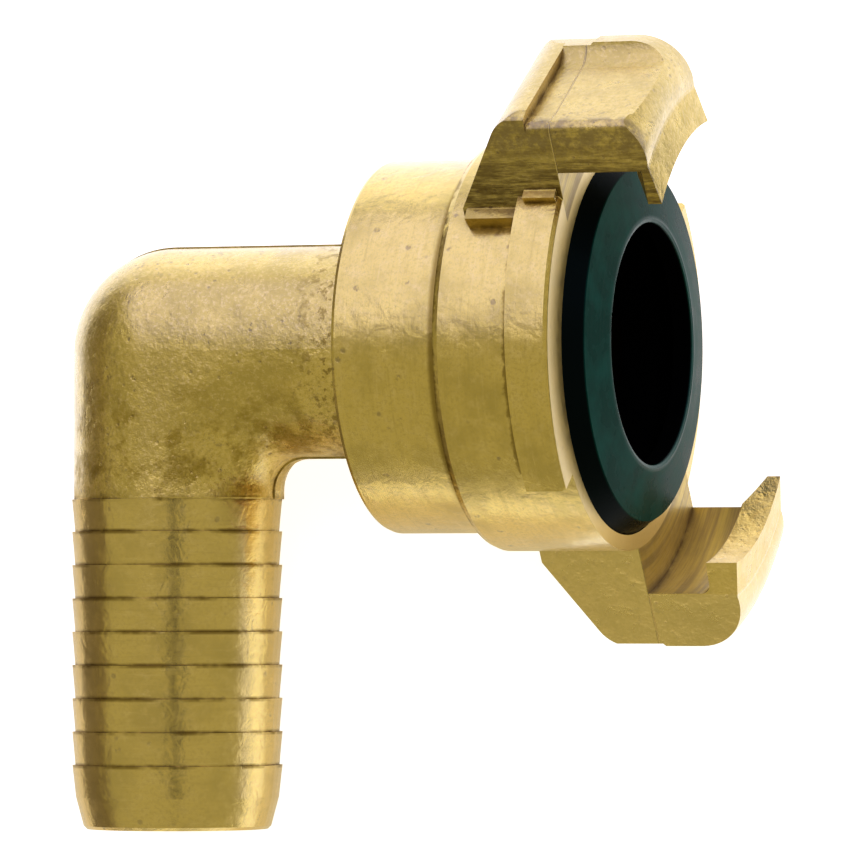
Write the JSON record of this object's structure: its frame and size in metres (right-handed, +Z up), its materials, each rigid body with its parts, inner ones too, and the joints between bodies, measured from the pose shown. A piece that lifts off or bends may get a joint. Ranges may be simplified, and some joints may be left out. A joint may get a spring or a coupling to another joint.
{
  "type": "swivelling 90 degree claw hose coupling",
  "caption": "Brass elbow with a barbed hose tail and a swivelling claw coupling head that carries a rubber face seal and cam rims for quick locking.",
  "frame": {"origin": "centre of the bounding box's underside, on the surface that the piece lies on", "axes": "-Y out of the hose tail, +X and tilted up 17.2 degrees along the swivel axis towards the coupling face, +Z up"},
  "size_m": [0.0652, 0.071, 0.0441],
  "materials": {
    "elbow_brass": "forged and turned",
    "head_brass": "satin turned",
    "seal_rubber": "moulded, slightly glossy",
    "o_ring_rubber": "moulded",
    "spring_steel": "bright",
    "washer_plastic": "plain"
  },
  "bodies": {
    "elbow": {"hose_elbow": "elbow_brass", "thrust_washer": "washer_plastic", "rear_o_ring": "o_ring_rubber", "front_o_ring": "o_ring_rubber", "retaining_ring": "spring_steel"},
    "head": {"coupling_head": "head_brass", "face_seal": "seal_rubber"}
  },
  "joints": [
    {"name": "head_swivel", "type": "hinge", "parent": "elbow", "child": "head", "pos_m": [0.00572, 0.00835, 0.0185], "axis": [0.9553, 0, 0.2956], "continuous": true}
  ]
}
